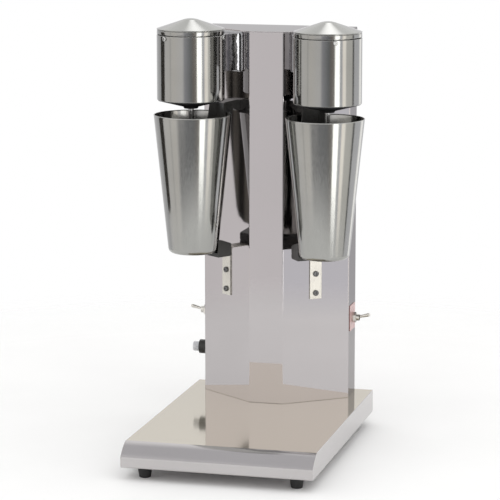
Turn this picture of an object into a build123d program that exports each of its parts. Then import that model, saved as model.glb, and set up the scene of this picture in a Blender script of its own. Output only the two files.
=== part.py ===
from build123d import *
from math import asin, atan2, cos, degrees, radians, sin
import os

os.makedirs("parts", exist_ok=True)

# Two-head drink mixer.  Millimetres.  X runs to the right, Y to the back, Z up.
# The origin is on the surface that the rubber feet stand on, under the middle of the base.

# ---- driving dimensions ----------------------------------------------------------------
SHEET = 1.2                      # stainless sheet of the base and the column

BASE_WIDTH = 220.0
BASE_DEPTH = 324.0
BASE_UNDERSIDE = 14.0            # clearance given by the feet
BASE_TOP = 40.7
BASE_NOSE_RUN = 21.0             # depth of the sloping front of the base
BASE_NOSE_BOTTOM = 26.4          # where the slope meets the upright front band
BASE_EDGE_RADIUS = 2.2

FOOT_TOP_RADIUS = 9.0
FOOT_BOTTOM_RADIUS = 6.4
FOOT_X = 87.5
FOOT_Y = 141.5

FRONT_HALF = 20.4                # half width of the column's narrow front face
SIDE_HALF = 89.2                 # half width of the column across its side faces
FRONT_Y = 64.3                   # the front face
FLANK_END_Y = 115.6              # where a flank meets a side face
BACK_Y = 153.6
COLUMN_TOP = 483.6
COLUMN_BEND_RADIUS = 1.6
COLUMN_BOLT_SPOTS = ((-60.0, 138.0), (60.0, 138.0), (-14.0, 78.0), (14.0, 78.0))
COLUMN_BOLT_HOLE = 3.2
COVER_SCREW_X = 82.0
COVER_SCREW_HEIGHTS = (80.0, 250.0, 440.0)

HEAD_ALONG = 28.0                # head axis: distance along the flank from its front edge
HEAD_OUT = 64.0                  # and its distance out from the flank
HEAD_RADIUS = 39.3
HEAD_WALL = 1.0
HEAD_BOTTOM = 406.0
HEAD_GAP = 482.0                 # joint between housing and lid
LID_BAND_TOP = 487.2
LID_TOP = 500.0

NECK_BOTTOM = 437.0
NECK_TOP = 480.0
NECK_FLANGE = 3.5
NECK_HALF_WIDTH = 15.0
NECK_MIDDLE = (NECK_TOP + NECK_BOTTOM) / 2
NECK_BOLT_ACROSS = 12.0
NECK_BOLT_RISE = 13.0
WIRE_WAY_RADIUS = 6.5            # passage for the wires from the column into the housing

# the motor inside each head, by height
CORE_BOTTOM = 424.0
CORE_HEIGHT = 26.0
WINDING_BOTTOM = 418.5
WINDING_HEIGHT = 36.5
FAN_BOTTOM = 410.6
FAN_DISC_Z = 416.2
COMMUTATOR_BOTTOM = 455.5
BRUSH_Z = 460.5
UPPER_BRACKET_Z = 466.5
SHAFT_TOP = 476.0
BEARING_RADIUS = 8.0
BEARING_HEIGHT = 6.0

CUP_ALONG = 25.5
CUP_OUT = 63.3
CUP_RIM_RADIUS = 45.4
CUP_RIM_TOP = 389.0
CUP_BASE_RADIUS = 28.8
CUP_BASE_Z = 226.5
CUP_WALL = 0.8

SHAFT_RADIUS = 3.2
AGITATOR_Z = 246.0
AGITATOR_RADIUS = 13.0

CLIP_ALONG = 27.0                # rim clip, centre along the flank
TONGUE_BOTTOM = 373.0            # the clip's tongue hangs down to here inside the cup
CLIP_ARM_BOTTOM = 392.6
CLIP_ARM_TOP = 400.0
CLIP_SCREW_Z = 396.5
BRACKET_ALONG = 42.0             # cup bracket strip, centre along the flank
BRACKET_WIDTH = 15.0
BRACKET_FOOT = 165.5
BRACKET_SCREW_HEIGHTS = (172.7, 195.8)
REST_BACK = 27.0                 # back of the black cup rest, out from the flank
REST_BOTTOM = 221.5
SHELF_TOP = 224.5                # the bracket's shelf, inside the rest
SHELF_THICKNESS = 1.5

SWITCH_Y = 134.0
SWITCH_Z = 136.0
FUSE_Z = 89.5
LEVER_REST_ANGLE = 14.0          # the levers point this far above level
GLAND_Z = 78.0

SIDES = {"left": -1, "right": 1}
LID_SCREW_ANGLES = {-1: 33.5, 1: 25.0}    # by side: from straight ahead, towards the outside

# ---- the flanks' own directions --------------------------------------------------------
FLANK_ANGLE = degrees(atan2(FLANK_END_Y - FRONT_Y, SIDE_HALF - FRONT_HALF))
ALONG_X = cos(radians(FLANK_ANGLE))
ALONG_Y = sin(radians(FLANK_ANGLE))


def flank_point(side, along, out, z=0.0):
    """A point given along the flank from its front edge, out from it, and up."""
    x = FRONT_HALF + along * ALONG_X + out * ALONG_Y
    y = FRONT_Y + along * ALONG_Y - out * ALONG_X
    return Vector(side * x, y, z)


def outward(side):
    return Vector(side * ALONG_Y, -ALONG_X, 0)


def level_plane(side, along, out, z=0.0):
    """Horizontal plane: local x points away from the flank."""
    return Plane(origin=flank_point(side, along, out, z), x_dir=outward(side), z_dir=(0, 0, 1))


def profile_plane(side, along):
    """Upright plane square to the flank: local x is the distance out, local y the height."""
    normal = outward(side).cross(Vector(0, 0, 1))
    return Plane(origin=flank_point(side, along, 0), x_dir=outward(side), z_dir=normal)


def facing_plane(side, along, out, z):
    """Plane parallel to the flank: local y is up, local z points away from the flank."""
    across = Vector(0, 0, 1).cross(outward(side))
    return Plane(origin=flank_point(side, along, out, z), x_dir=across, z_dir=outward(side))


def side_plane(side, out, y, z):
    """Plane parallel to a side face of the column: local z points away from it."""
    return Plane(origin=(side * (SIDE_HALF + out), y, z), x_dir=(0, side, 0), z_dir=(side, 0, 0))


def save(piece, label):
    piece.part.label = label
    export_step(piece.part, f"parts/{label}.step")


def column_outline(inset, radius):
    """The column's plan, moved inwards by inset."""
    with BuildSketch(mode=Mode.PRIVATE) as plan:
        with BuildLine():
            Polyline(
                (-FRONT_HALF, FRONT_Y), (FRONT_HALF, FRONT_Y), (SIDE_HALF, FLANK_END_Y),
                (SIDE_HALF, BACK_Y), (-SIDE_HALF, BACK_Y), (-SIDE_HALF, FLANK_END_Y), close=True,
            )
        make_face()
        if inset:
            offset(amount=-inset, kind=Kind.INTERSECTION, mode=Mode.REPLACE)
        if radius:
            fillet(plan.vertices(), radius=radius)
    return plan.sketch


def screw(plane, head_radius, head_height, shank_radius, shank_length, recess=True):
    """Pan-head machine screw: its head stands on the plane and its shank goes behind it."""
    with BuildPart(mode=Mode.PRIVATE) as piece:
        with BuildSketch(plane):
            Circle(head_radius)
        extrude(amount=head_height)
        fillet(piece.faces().sort_by(Axis(plane.origin, plane.z_dir))[-1].edges(), radius=head_height * 0.55)
        if recess:
            with BuildSketch(plane.offset(head_height)):
                Rectangle(head_radius * 1.1, head_radius * 0.24)
                Rectangle(head_radius * 0.24, head_radius * 1.1)
            extrude(amount=-head_height * 0.6, mode=Mode.SUBTRACT)
        with BuildSketch(plane):
            Circle(shank_radius)
        extrude(amount=-shank_length)
    return piece.part


# ---- base --------------------------------------------------------------------------------
def base_profile(inset):
    """Side view of the base: flat top, convex sloping nose, upright front band."""
    front = -BASE_DEPTH / 2
    with BuildSketch(Plane.YZ.offset(inset - BASE_WIDTH / 2), mode=Mode.PRIVATE) as profile:
        with BuildLine():
            nose_top = (front + BASE_NOSE_RUN, BASE_TOP)
            nose_middle = (front + BASE_NOSE_RUN * 0.46, BASE_TOP - 5.6)
            nose_end = (front, BASE_NOSE_BOTTOM)
            ThreePointArc(nose_top, nose_middle, nose_end)
            Polyline(
                nose_end, (front, BASE_UNDERSIDE), (-front, BASE_UNDERSIDE), (-front, BASE_TOP), nose_top,
            )
        make_face()
        if inset:
            offset(amount=-inset, kind=Kind.INTERSECTION, mode=Mode.REPLACE)
    return profile.sketch


with BuildPart() as base_pan:
    extrude(base_profile(0), amount=BASE_WIDTH, dir=(1, 0, 0))
    fillet(base_pan.faces().sort_by(Axis.Z)[0].edges().filter_by(Axis.X), radius=BASE_EDGE_RADIUS)
    fillet(base_pan.faces().sort_by(Axis.Z)[-1].edges().filter_by(Axis.Y), radius=0.8)
    extrude(base_profile(SHEET), amount=BASE_WIDTH - 2 * SHEET, dir=(1, 0, 0), mode=Mode.SUBTRACT)
    with BuildSketch(Plane.XY.offset(BASE_UNDERSIDE)):
        Rectangle(BASE_WIDTH - 2 * BASE_EDGE_RADIUS - 6, BASE_DEPTH - 2 * BASE_EDGE_RADIUS - 6)
    extrude(amount=SHEET * 2, both=True, mode=Mode.SUBTRACT)
    # holes for the bolts that hold the column down
    with Locations(*[(x, y, BASE_TOP) for x, y in COLUMN_BOLT_SPOTS]):
        Hole(radius=COLUMN_BOLT_HOLE, depth=SHEET * 2)
save(base_pan, "base_pan")

PLATE_THICKNESS = 1.5
FOOT_SCREW_HOLE = 2.7
plate_bottom = BASE_UNDERSIDE + SHEET + 0.1
with BuildPart() as base_bottom_plate:
    with BuildSketch(Plane.XY.offset(plate_bottom)):
        RectangleRounded(BASE_WIDTH - 2 * SHEET - 1, BASE_DEPTH - 2 * SHEET - 1, 3)
    extrude(amount=PLATE_THICKNESS)
    with Locations((0, 0, plate_bottom + PLATE_THICKNESS)):
        with GridLocations(2 * FOOT_X, 2 * FOOT_Y, 2, 2):
            Hole(radius=FOOT_SCREW_HOLE, depth=PLATE_THICKNESS * 2)
save(base_bottom_plate, "base_bottom_plate")

FOOT_HEIGHT = plate_bottom
FOOT_SCREW_SEAT = 4.5            # height of the screw head's seat inside the foot
with BuildPart() as rubber_feet:
    with BuildSketch(Plane.XY) as foot_bottoms:
        with GridLocations(2 * FOOT_X, 2 * FOOT_Y, 2, 2):
            Circle(FOOT_BOTTOM_RADIUS)
    extrude(amount=FOOT_HEIGHT, taper=-degrees(asin((FOOT_TOP_RADIUS - FOOT_BOTTOM_RADIUS) / FOOT_HEIGHT)))
    fillet(rubber_feet.faces().filter_by(Plane.XY).group_by(Axis.Z)[0].edges(), radius=1.2)
    # screw holes, with a wider mouth below that takes the screw's head
    with Locations(Plane.XY.rotated((180, 0, 0))):
        with GridLocations(2 * FOOT_X, 2 * FOOT_Y, 2, 2):
            CounterBoreHole(
                radius=FOOT_SCREW_HOLE, counter_bore_radius=3.7, counter_bore_depth=FOOT_SCREW_SEAT,
                depth=FOOT_HEIGHT + 1,
            )
save(rubber_feet, "rubber_feet")

with BuildPart() as foot_screws:
    for x in (-FOOT_X, FOOT_X):
        for y in (-FOOT_Y, FOOT_Y):
            seat = Plane(origin=(x, y, FOOT_SCREW_SEAT - 0.1), z_dir=(0, 0, -1))
            add(screw(seat, 3.4, 2.6, 2.4, 18))
            with BuildSketch(Plane.XY.offset(plate_bottom + PLATE_THICKNESS)):
                with Locations((x, y)):
                    RegularPolygon(radius=4.4, side_count=6)
                    Circle(2.4, mode=Mode.SUBTRACT)
            extrude(amount=3.2)
save(foot_screws, "foot_screws")

# ---- column ------------------------------------------------------------------------------
SIDE_FLANGE = 14.0               # turned-in edges that the back cover is screwed to
CAP_SKIRT = 5.0                  # turned-down edge inside the shell
cap_underside = COLUMN_TOP - SHEET
with BuildPart() as column_shell:
    with BuildSketch(Plane.XY.offset(BASE_TOP)):
        add(column_outline(0, COLUMN_BEND_RADIUS))
        add(column_outline(SHEET, 0.5), mode=Mode.SUBTRACT)
    extrude(amount=cap_underside - BASE_TOP)
    with BuildSketch(Plane.XY.offset(BASE_TOP)):
        with Locations((0, BACK_Y)):
            Rectangle(2 * (SIDE_HALF - SIDE_FLANGE), 4 * SHEET)
    extrude(amount=cap_underside - BASE_TOP, mode=Mode.SUBTRACT)
    for side in SIDES.values():
        # wire way into the neck, neck bolts, bracket screws, clip screw
        with Locations(facing_plane(side, HEAD_ALONG, 0, NECK_MIDDLE)):
            Hole(radius=WIRE_WAY_RADIUS + 0.5, depth=SHEET * 3)
            with GridLocations(2 * NECK_BOLT_ACROSS, 2 * NECK_BOLT_RISE, 2, 2):
                Hole(radius=2.6, depth=SHEET * 3)
        for height in BRACKET_SCREW_HEIGHTS:
            with Locations(facing_plane(side, BRACKET_ALONG, 0, height)):
                Hole(radius=2.2, depth=SHEET * 3)
        with Locations(facing_plane(side, CLIP_ALONG, 0, CLIP_SCREW_Z)):
            Hole(radius=2.2, depth=SHEET * 3)
        with Locations(side_plane(side, 0, SWITCH_Y, SWITCH_Z)):
            Hole(radius=4.2, depth=SHEET * 3)
    with Locations(side_plane(-1, 0, SWITCH_Y, FUSE_Z)):
        Hole(radius=6.4, depth=SHEET * 3)
    for height in COVER_SCREW_HEIGHTS:
        for x in (-COVER_SCREW_X, COVER_SCREW_X):
            with Locations(Plane(origin=(x, BACK_Y, height), z_dir=(0, 1, 0))):
                Hole(radius=1.7, depth=SHEET * 3)
save(column_shell, "column_shell")

with BuildPart() as column_top_cap:
    with BuildSketch(Plane.XY.offset(cap_underside)):
        add(column_outline(0.15, COLUMN_BEND_RADIUS))
    extrude(amount=SHEET)
    fillet(column_top_cap.faces().sort_by(Axis.Z)[-1].edges(), radius=0.5)
    with BuildSketch(Plane.XY.offset(cap_underside - CAP_SKIRT)):
        add(column_outline(SHEET + 0.3, 0.5))
        add(column_outline(2 * SHEET + 0.3, 0), mode=Mode.SUBTRACT)
    extrude(amount=CAP_SKIRT)
save(column_top_cap, "column_top_cap")

FLANGE_THICKNESS = 3.0
with BuildPart() as column_flange:
    with BuildSketch(Plane.XY.offset(BASE_TOP)):
        add(column_outline(SHEET + 0.2, 0.5))
        add(column_outline(SHEET + 22, 0), mode=Mode.SUBTRACT)
    extrude(amount=FLANGE_THICKNESS)
    with Locations(*[(x, y, BASE_TOP + FLANGE_THICKNESS) for x, y in COLUMN_BOLT_SPOTS]):
        Hole(radius=COLUMN_BOLT_HOLE, depth=FLANGE_THICKNESS * 2)
save(column_flange, "column_flange")

BOLT_RADIUS = 2.9
BOLT_HEX_RADIUS = 5.4
BOLT_NUT_HEIGHT = 4.5
BOLT_REACH = 12.0                # how far the bolts reach below the base's top
with BuildPart() as column_bolts:
    for x, y in COLUMN_BOLT_SPOTS:
        with BuildSketch(Plane.XY.offset(BASE_TOP + FLANGE_THICKNESS)):
            with Locations((x, y)):
                RegularPolygon(radius=BOLT_HEX_RADIUS, side_count=6)
        extrude(amount=4)
        with BuildSketch(Plane.XY.offset(BASE_TOP - BOLT_REACH)):
            with Locations((x, y)):
                Circle(BOLT_RADIUS)
        extrude(amount=BOLT_REACH + FLANGE_THICKNESS)
        with BuildSketch(Plane.XY.offset(BASE_TOP - SHEET - BOLT_NUT_HEIGHT)):
            with Locations((x, y)):
                RegularPolygon(radius=BOLT_HEX_RADIUS, side_count=6)
                Circle(BOLT_RADIUS, mode=Mode.SUBTRACT)
        extrude(amount=BOLT_NUT_HEIGHT)
save(column_bolts, "column_bolts")

COVER_BOTTOM = BASE_TOP + 1.0
COVER_TOP = COLUMN_TOP - 3.0
cover_middle = (COVER_BOTTOM + COVER_TOP) / 2
with BuildPart() as column_back_cover:
    with BuildSketch(Plane(origin=(0, BACK_Y, cover_middle), x_dir=(-1, 0, 0), z_dir=(0, 1, 0))):
        RectangleRounded(2 * SIDE_HALF - 3, COVER_TOP - COVER_BOTTOM, 3)
        # cooling slots: an upper and a lower group
        for group in (-120, 140):
            with Locations((0, group)):
                with GridLocations(44, 9, 2, 6):
                    SlotOverall(34, 3.4, mode=Mode.SUBTRACT)
        with Locations((0, GLAND_Z - cover_middle)):
            Circle(8.1, mode=Mode.SUBTRACT)
        for height in COVER_SCREW_HEIGHTS:
            with Locations((-COVER_SCREW_X, height - cover_middle), (COVER_SCREW_X, height - cover_middle)):
                Circle(1.8, mode=Mode.SUBTRACT)
    extrude(amount=SHEET)
save(column_back_cover, "column_back_cover")

with BuildPart() as back_cover_screws:
    for height in COVER_SCREW_HEIGHTS:
        for x in (-COVER_SCREW_X, COVER_SCREW_X):
            add(screw(Plane(origin=(x, BACK_Y + SHEET, height), z_dir=(0, 1, 0)), 3.2, 2.0, 1.6, 6))
save(back_cover_screws, "back_cover_screws")

with BuildPart() as cable_gland:
    gland_plane = Plane(origin=(0, BACK_Y + SHEET, GLAND_Z), x_dir=(1, 0, 0), z_dir=(0, 1, 0))
    with BuildSketch(gland_plane):
        RegularPolygon(radius=11.0, side_count=6)
    extrude(amount=4)
    with BuildSketch(gland_plane.offset(4)):
        Circle(9.0)
    extrude(amount=3, taper=8)
    with BuildSketch(gland_plane):
        Circle(7.9)
    extrude(amount=-12)
    with BuildSketch(gland_plane.offset(-12)):
        Circle(4.0)
    extrude(amount=24, mode=Mode.SUBTRACT)
    with BuildSketch(gland_plane.offset(-SHEET - 0.1)):
        RegularPolygon(radius=11.0, side_count=6)
        Circle(8.0, mode=Mode.SUBTRACT)
    extrude(amount=-5)
save(cable_gland, "cable_gland")

with BuildPart() as terminal_block:
    with Locations((40, BACK_Y - 12.2, 110)):
        Box(34, 18, 16)
    with Locations((40, BACK_Y - 21.2, 110)):
        with GridLocations(10, 20, 3, 1):
            Box(6.5, 4, 10, mode=Mode.SUBTRACT)
save(terminal_block, "terminal_block")

# ---- heads -------------------------------------------------------------------------------
LID_SPIGOT = 6.0
LID_SCREW_HOLE = 1.6


def head_ring(plane, outer, inner, height):
    with BuildPart(mode=Mode.PRIVATE) as ring:
        with BuildSketch(plane):
            Circle(outer)
            if inner:
                Circle(inner, mode=Mode.SUBTRACT)
        extrude(amount=height)
    return ring.part


def lid_screw_planes(side):
    """Three planes round the housing just under the lid joint, facing outwards."""
    centre = flank_point(side, HEAD_ALONG, HEAD_OUT, HEAD_GAP - 3.6)
    planes = []
    for turn in (0, 120, 240):
        angle = radians(LID_SCREW_ANGLES[side] + turn)
        direction = Vector(side * sin(angle), -cos(angle), 0)
        planes.append(Plane(origin=centre + direction * HEAD_RADIUS, x_dir=(0, 0, 1), z_dir=direction))
    return planes


def motor_housing(side):
    axis_plane = level_plane(side, HEAD_ALONG, HEAD_OUT, HEAD_BOTTOM)
    with BuildPart() as housing:
        add(head_ring(axis_plane, HEAD_RADIUS, HEAD_RADIUS - HEAD_WALL, HEAD_GAP - 0.6 - HEAD_BOTTOM))
        with Locations(facing_plane(side, HEAD_ALONG, HEAD_OUT - HEAD_RADIUS + 3 * HEAD_WALL, NECK_MIDDLE)):
            Hole(radius=WIRE_WAY_RADIUS, depth=5 * HEAD_WALL)
        with Locations(*lid_screw_planes(side)):
            Hole(radius=LID_SCREW_HOLE, depth=3 * HEAD_WALL)
    return housing


def motor_lid(side):
    """Spun lid: upright band, straight cone, round crown, and a spigot inside the housing."""
    half_plane = profile_plane(side, HEAD_ALONG)
    inner = HEAD_RADIUS - HEAD_WALL
    with BuildPart() as lid:
        with BuildSketch(half_plane):
            with BuildLine():
                shoulder = (HEAD_OUT + HEAD_RADIUS - 1.4, LID_BAND_TOP + 1.1)
                crown = (HEAD_OUT + 10.5, LID_TOP - 1.2)
                under_crown = (HEAD_OUT + 10.0, LID_TOP - 2.6)
                under_shoulder = (HEAD_OUT + inner - 1.0, LID_BAND_TOP - 0.3)
                ThreePointArc((HEAD_OUT, LID_TOP), (HEAD_OUT + 5.4, LID_TOP - 0.3), crown)
                Line(crown, shoulder)
                ThreePointArc(
                    shoulder,
                    (HEAD_OUT + HEAD_RADIUS - 0.35, LID_BAND_TOP + 0.75),
                    (HEAD_OUT + HEAD_RADIUS, LID_BAND_TOP),
                )
                Polyline(
                    (HEAD_OUT + HEAD_RADIUS, LID_BAND_TOP), (HEAD_OUT + HEAD_RADIUS, HEAD_GAP + 0.5),
                    (HEAD_OUT + inner - 0.2, HEAD_GAP + 0.5), (HEAD_OUT + inner - 0.2, HEAD_GAP - LID_SPIGOT),
                    (HEAD_OUT + inner - 1.2, HEAD_GAP - LID_SPIGOT), under_shoulder, under_crown,
                    (HEAD_OUT, LID_TOP - 1.3), (HEAD_OUT, LID_TOP),
                )
            make_face()
        revolve(axis=Axis(flank_point(side, HEAD_ALONG, HEAD_OUT), (0, 0, 1)), revolution_arc=360)
        with Locations(*[plane.offset(-0.9) for plane in lid_screw_planes(side)]):
            Hole(radius=LID_SCREW_HOLE, depth=2 * HEAD_WALL)
    return lid


def motor_end_plate(side):
    """Dark underside of the head: a shallow cone with the lower bearing's seat inside."""
    half_plane = profile_plane(side, HEAD_ALONG)
    rim = HEAD_OUT + HEAD_RADIUS - HEAD_WALL - 0.1
    seat = HEAD_OUT + BEARING_RADIUS + 0.05
    with BuildPart() as plate:
        with BuildSketch(half_plane):
            with BuildLine():
                Polyline(
                    (rim, HEAD_BOTTOM + 3.0), (rim, HEAD_BOTTOM - 0.6), (HEAD_OUT + 9.0, HEAD_BOTTOM - 8.2),
                    (HEAD_OUT + 8.0, HEAD_BOTTOM - 10.2), (HEAD_OUT + 4.2, HEAD_BOTTOM - 10.2),
                    (HEAD_OUT + 4.2, HEAD_BOTTOM - 4.0), (seat, HEAD_BOTTOM - 4.0),
                    (seat, HEAD_BOTTOM + 3.0), (HEAD_OUT + 11.0, HEAD_BOTTOM + 3.0),
                    (HEAD_OUT + 12.0, HEAD_BOTTOM - 4.6), (rim - 2.0, HEAD_BOTTOM + 1.4),
                    (rim - 2.0, HEAD_BOTTOM + 3.0), close=True,
                )
            make_face()
        revolve(axis=Axis(flank_point(side, HEAD_ALONG, HEAD_OUT), (0, 0, 1)), revolution_arc=360)
    return plate


def neck(side):
    """Hollow chromed arm with a flange on the flank and a saddle on the housing."""
    neck_height = NECK_TOP - NECK_BOTTOM
    with BuildPart() as arm:
        with BuildSketch(facing_plane(side, HEAD_ALONG, 0.05, NECK_MIDDLE)):
            RectangleRounded(2 * NECK_HALF_WIDTH + 6, neck_height + 4, 4)
        extrude(amount=NECK_FLANGE)
        with BuildSketch(level_plane(side, HEAD_ALONG, 0.05, NECK_BOTTOM)):
            with BuildLine():
                reach = HEAD_OUT
                Polyline((reach, NECK_HALF_WIDTH), (reach, -NECK_HALF_WIDTH), (reach - 36, -NECK_HALF_WIDTH))
                ThreePointArc(
                    (reach - 36, -NECK_HALF_WIDTH), (12, -NECK_HALF_WIDTH + 3.6), (1, -NECK_HALF_WIDTH),
                )
                Line((1, -NECK_HALF_WIDTH), (1, NECK_HALF_WIDTH))
                ThreePointArc(
                    (1, NECK_HALF_WIDTH), (12, NECK_HALF_WIDTH - 3.6), (reach - 36, NECK_HALF_WIDTH),
                )
                Line((reach - 36, NECK_HALF_WIDTH), (reach, NECK_HALF_WIDTH))
            make_face()
        extrude(amount=neck_height)
        fillet(arm.edges().filter_by(GeomType.CIRCLE).group_by(Axis.Z)[-1], radius=1.6)
        saddle_plane = level_plane(side, HEAD_ALONG, HEAD_OUT, NECK_BOTTOM - 20)
        add(head_ring(saddle_plane, HEAD_RADIUS + 0.05, 0, 90), mode=Mode.SUBTRACT)
        with BuildSketch(facing_plane(side, HEAD_ALONG, -1, NECK_MIDDLE)):
            Circle(WIRE_WAY_RADIUS)
        extrude(amount=HEAD_OUT - HEAD_RADIUS + 8, mode=Mode.SUBTRACT)
        with BuildSketch(facing_plane(side, HEAD_ALONG, -1, NECK_MIDDLE)):
            with GridLocations(2 * NECK_BOLT_ACROSS, 2 * NECK_BOLT_RISE, 2, 2):
                Circle(2.5)
        extrude(amount=1 + NECK_FLANGE, mode=Mode.SUBTRACT)
    return arm


def stator_core(side):
    """Laminated ring with two poles that face the armature."""
    plane = level_plane(side, HEAD_ALONG, HEAD_OUT, CORE_BOTTOM)
    with BuildPart() as core:
        with BuildSketch(plane):
            Circle(37.6)
            Circle(34.4, mode=Mode.SUBTRACT)
            Rectangle(71, 20)
            with Locations((20.5, 0), (-20.5, 0)):
                Rectangle(6, 28)
            Circle(17.6, mode=Mode.SUBTRACT)
        extrude(amount=CORE_HEIGHT)
    return core


def field_coils(side):
    """Two wound loops, one round each pole."""
    coil_depth = 6.4
    coil_out = 27.2
    middle = CORE_BOTTOM + CORE_HEIGHT / 2
    with BuildPart() as coils:
        for out in (HEAD_OUT - coil_out, HEAD_OUT + coil_out):
            with BuildSketch(facing_plane(side, HEAD_ALONG, out - coil_depth / 2, middle)):
                RectangleRounded(29, 37, 5)
                Rectangle(20.4, 26.4, mode=Mode.SUBTRACT)
            extrude(amount=coil_depth)
    return coils


def brush_block(side, width, height, start, length):
    """A pair of blocks across the commutator, parallel to the flank."""
    plane = level_plane(side, HEAD_ALONG, HEAD_OUT, BRUSH_Z - height / 2)
    with BuildPart(mode=Mode.PRIVATE) as pair:
        with BuildSketch(plane):
            with Locations((0, start + length / 2), (0, -start - length / 2)):
                Rectangle(width, length)
        extrude(amount=height)
    return pair.part


def bearing_bracket(side):
    """Upper end bracket: a spoked disc with the upper bearing's seat."""
    plane = level_plane(side, HEAD_ALONG, HEAD_OUT, UPPER_BRACKET_Z)
    with BuildPart() as bracket:
        with BuildSketch(plane):
            Circle(37.6)
            with PolarLocations(22.5, 4, start_angle=45):
                Circle(8.5, mode=Mode.SUBTRACT)
        extrude(amount=2.5)
        with BuildSketch(plane):
            Circle(11)
        extrude(amount=7.5)
        with BuildSketch(plane):
            Circle(BEARING_RADIUS + 0.05)
        extrude(amount=7.5, mode=Mode.SUBTRACT)
    return bracket


def spindle_shaft(side):
    """Armature shaft that runs on down as the spindle."""
    foot = AGITATOR_Z - 4
    plane = level_plane(side, HEAD_ALONG, HEAD_OUT, foot)
    with BuildPart() as shaft:
        with BuildSketch(plane):
            Circle(SHAFT_RADIUS)
        extrude(amount=SHAFT_TOP - foot)
        chamfer(shaft.edges().group_by(Axis.Z)[-1], length=0.6)
        chamfer(shaft.edges().group_by(Axis.Z)[0], length=0.6)
    return shaft


def armature_core(side):
    """Slotted armature with its end windings."""
    with BuildPart() as core:
        with BuildSketch(level_plane(side, HEAD_ALONG, HEAD_OUT, CORE_BOTTOM)):
            Circle(17.1)
            with PolarLocations(15.6, 12):
                Rectangle(3.4, 1.8, mode=Mode.SUBTRACT)
        extrude(amount=CORE_HEIGHT)
        with BuildSketch(level_plane(side, HEAD_ALONG, HEAD_OUT, WINDING_BOTTOM)):
            Circle(13.6)
        extrude(amount=WINDING_HEIGHT)
        fillet(core.edges().group_by(Axis.Z)[0], radius=2)
        fillet(core.edges().group_by(Axis.Z)[-1], radius=2)
        with BuildSketch(level_plane(side, HEAD_ALONG, HEAD_OUT, WINDING_BOTTOM)):
            Circle(SHAFT_RADIUS)
        extrude(amount=WINDING_HEIGHT, mode=Mode.SUBTRACT)
    return core


def commutator(side):
    """Copper segments on the shaft above the armature."""
    with BuildPart() as drum:
        with BuildSketch(level_plane(side, HEAD_ALONG, HEAD_OUT, COMMUTATOR_BOTTOM)):
            Circle(9)
            with PolarLocations(9, 24):
                Rectangle(1.6, 0.5, mode=Mode.SUBTRACT)
            Circle(SHAFT_RADIUS, mode=Mode.SUBTRACT)
        extrude(amount=10)
    return drum


def cooling_fan(side):
    """Radial fan under the armature: hub, disc and straight blades."""
    with BuildPart() as fan:
        add(head_ring(level_plane(side, HEAD_ALONG, HEAD_OUT, FAN_BOTTOM), 7, SHAFT_RADIUS, 7.2))
        with BuildSketch(level_plane(side, HEAD_ALONG, HEAD_OUT, FAN_DISC_Z)):
            Circle(22)
            Circle(SHAFT_RADIUS, mode=Mode.SUBTRACT)
        extrude(amount=0.8)
        with BuildSketch(level_plane(side, HEAD_ALONG, HEAD_OUT, FAN_DISC_Z - 5)):
            with PolarLocations(14.2, 10):
                Rectangle(14.5, 1.0)
        extrude(amount=5.2)
    return fan


def agitator(side):
    """Mixing disc at the spindle's foot: a hub and a waved disc cut into lobes."""
    hub_plane = level_plane(side, HEAD_ALONG, HEAD_OUT, AGITATOR_Z - 5)
    with BuildPart() as disc:
        with BuildSketch(hub_plane):
            Circle(5.2)
        extrude(amount=12)
        fillet(disc.edges().group_by(Axis.Z)[-1], radius=1.6)
        fillet(disc.edges().group_by(Axis.Z)[0], radius=2.2)
        with BuildSketch(level_plane(side, HEAD_ALONG, HEAD_OUT, AGITATOR_Z - 1)):
            Circle(AGITATOR_RADIUS)
            with PolarLocations(AGITATOR_RADIUS, 6):
                Circle(2.6, mode=Mode.SUBTRACT)
        extrude(amount=1.6)
        with BuildSketch(level_plane(side, HEAD_ALONG, HEAD_OUT, AGITATOR_Z - 3)):
            with PolarLocations(7.6, 6, start_angle=30):
                Rectangle(7.0, 1.2)
        extrude(amount=5.6)
        with BuildSketch(level_plane(side, HEAD_ALONG, HEAD_OUT, AGITATOR_Z - 4)):
            Circle(SHAFT_RADIUS)
        extrude(amount=20, mode=Mode.SUBTRACT)
    return disc


# ---- cups and what holds them --------------------------------------------------------------
CUP_CORNER_RADIUS = 6.0
RIM_BEAD = 1.0
cup_taper = degrees(atan2(CUP_RIM_RADIUS - CUP_BASE_RADIUS, CUP_RIM_TOP - CUP_BASE_Z))


def mixing_cup(side):
    """Spun steel tumbler: straight taper, round bottom corner, rolled rim."""
    axis = Axis(flank_point(side, CUP_ALONG, CUP_OUT), (0, 0, 1))
    rim = CUP_OUT + CUP_RIM_RADIUS
    bottom = CUP_OUT + CUP_BASE_RADIUS
    with BuildPart() as cup:
        with BuildSketch(profile_plane(side, CUP_ALONG)):
            with BuildLine():
                FilletPolyline(
                    (CUP_OUT, CUP_BASE_Z), (bottom, CUP_BASE_Z), (rim, CUP_RIM_TOP - RIM_BEAD),
                    radius=CUP_CORNER_RADIUS,
                )
                FilletPolyline(
                    (CUP_OUT, CUP_BASE_Z + CUP_WALL), (bottom - CUP_WALL * 0.9, CUP_BASE_Z + CUP_WALL),
                    (rim - CUP_WALL, CUP_RIM_TOP - RIM_BEAD), radius=CUP_CORNER_RADIUS - CUP_WALL,
                )
                Line((CUP_OUT, CUP_BASE_Z), (CUP_OUT, CUP_BASE_Z + CUP_WALL))
                Line((rim, CUP_RIM_TOP - RIM_BEAD), (rim - CUP_WALL, CUP_RIM_TOP - RIM_BEAD))
            make_face()
            with Locations((rim - CUP_WALL / 2, CUP_RIM_TOP - RIM_BEAD)):
                Circle(RIM_BEAD)
        revolve(axis=axis, revolution_arc=360)
    return cup


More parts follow.
